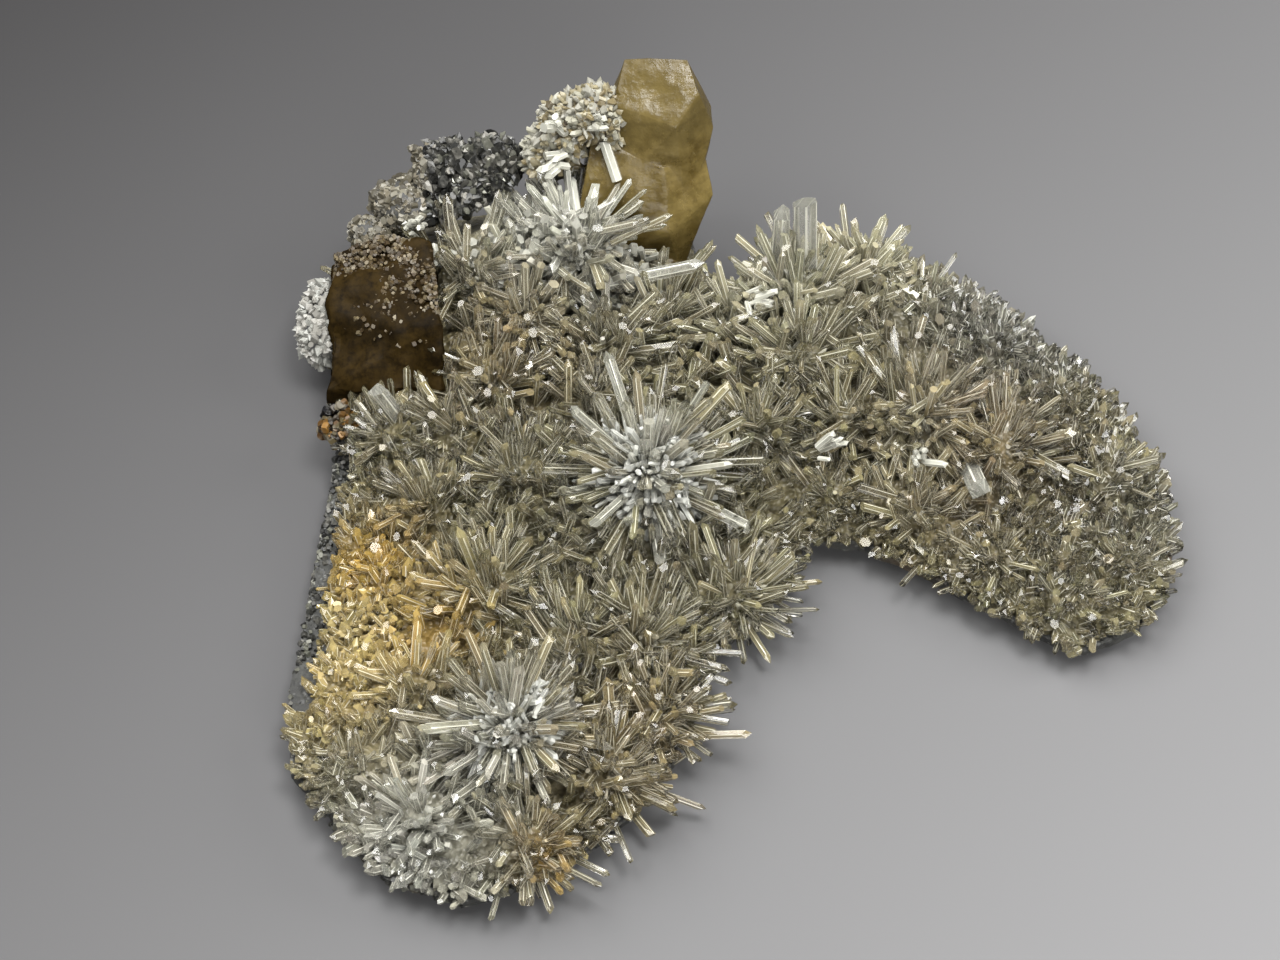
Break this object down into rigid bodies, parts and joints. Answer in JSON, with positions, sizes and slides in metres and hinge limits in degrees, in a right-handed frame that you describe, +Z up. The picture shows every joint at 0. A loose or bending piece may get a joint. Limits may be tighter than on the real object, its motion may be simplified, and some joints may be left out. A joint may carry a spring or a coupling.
{
  "type": "needle quartz specimen",
  "caption": "Two-lobed mineral specimen lying flat: a rock plate under a crust of needle quartz in radiating sprays, with honey and brown calcite and small druses at one end.",
  "frame": {"origin": "middle of the specimen's box in plan, on its flat underside", "axes": "+Z up from the underside, -Y towards the viewer, +X to the viewer's right"},
  "size_m": [0.1516, 0.146, 0.042],
  "materials": {
    "rock": "rough broken rock",
    "quartz": "clear to milky crystal faces",
    "honey_calcite": "translucent, satin cleavage faces",
    "brown_calcite": "smoky, satin cleavage faces",
    "pale_druse": "crumbly, sparkling",
    "dark_druse": "dark metallic crystals with white frosting",
    "edge_druse": "sugary white",
    "rusty_nub": "rusty, grainy"
  },
  "bodies": {
    "root": {"matrix": "rock", "needle_quartz": "quartz", "honey_calcite": "honey_calcite", "brown_calcite": "brown_calcite", "pale_druse": "pale_druse", "dark_druse": "dark_druse", "edge_druse": "edge_druse", "rusty_nub": "rusty_nub"}
  },
  "joints": []
}
